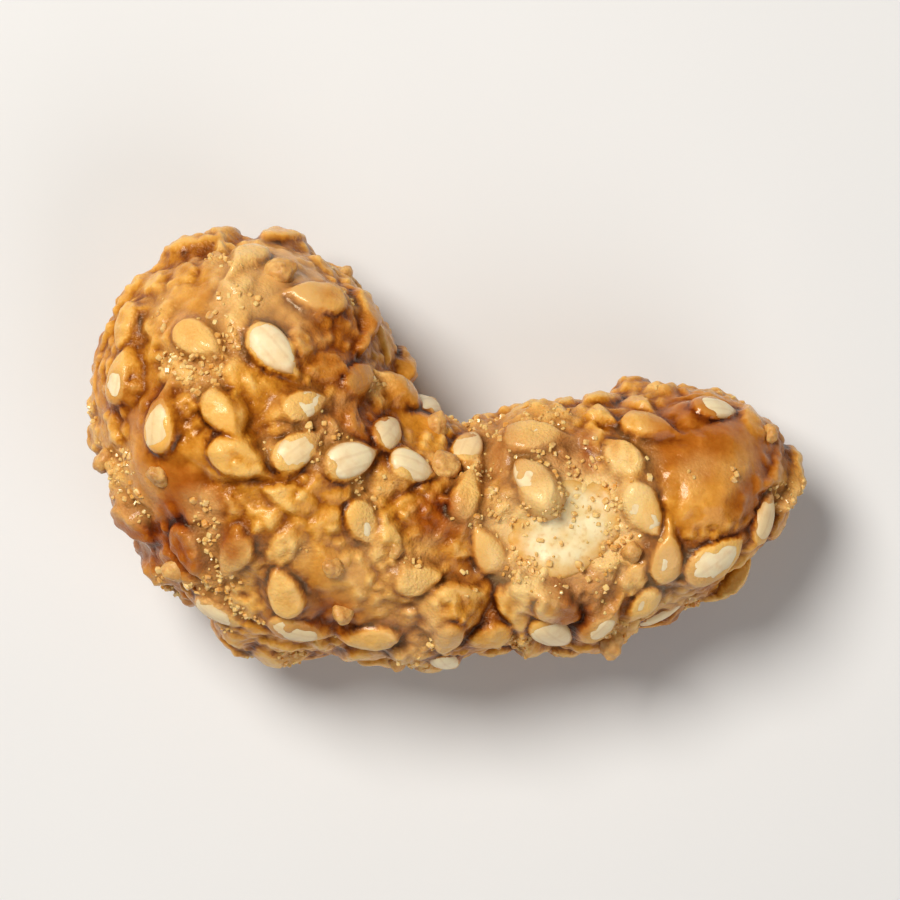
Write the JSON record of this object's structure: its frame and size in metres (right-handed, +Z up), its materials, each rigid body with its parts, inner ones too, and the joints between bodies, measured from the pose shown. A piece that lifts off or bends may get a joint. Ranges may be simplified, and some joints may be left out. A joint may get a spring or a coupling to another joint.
{
  "type": "caramelized cashew",
  "caption": "Whole kidney-shaped cashew in a lumpy caramelized sugar crust set with sesame seeds, lying on its side on a small flat spot of set caramel.",
  "frame": {"origin": "on the plane of the flat foot, below the middle of the nut's box", "axes": "+X along the nut from its fat end to its slim end, +Y towards its hollow side, +Z up from the foot it lies on"},
  "size_m": [0.0361, 0.0227, 0.0156],
  "materials": {
    "caramel_crust": "gloss",
    "sesame_seed": "satin",
    "nut_kernel": "satin"
  },
  "bodies": {
    "root": {"caramelized_cashew": "caramel_crust"}
  },
  "joints": []
}
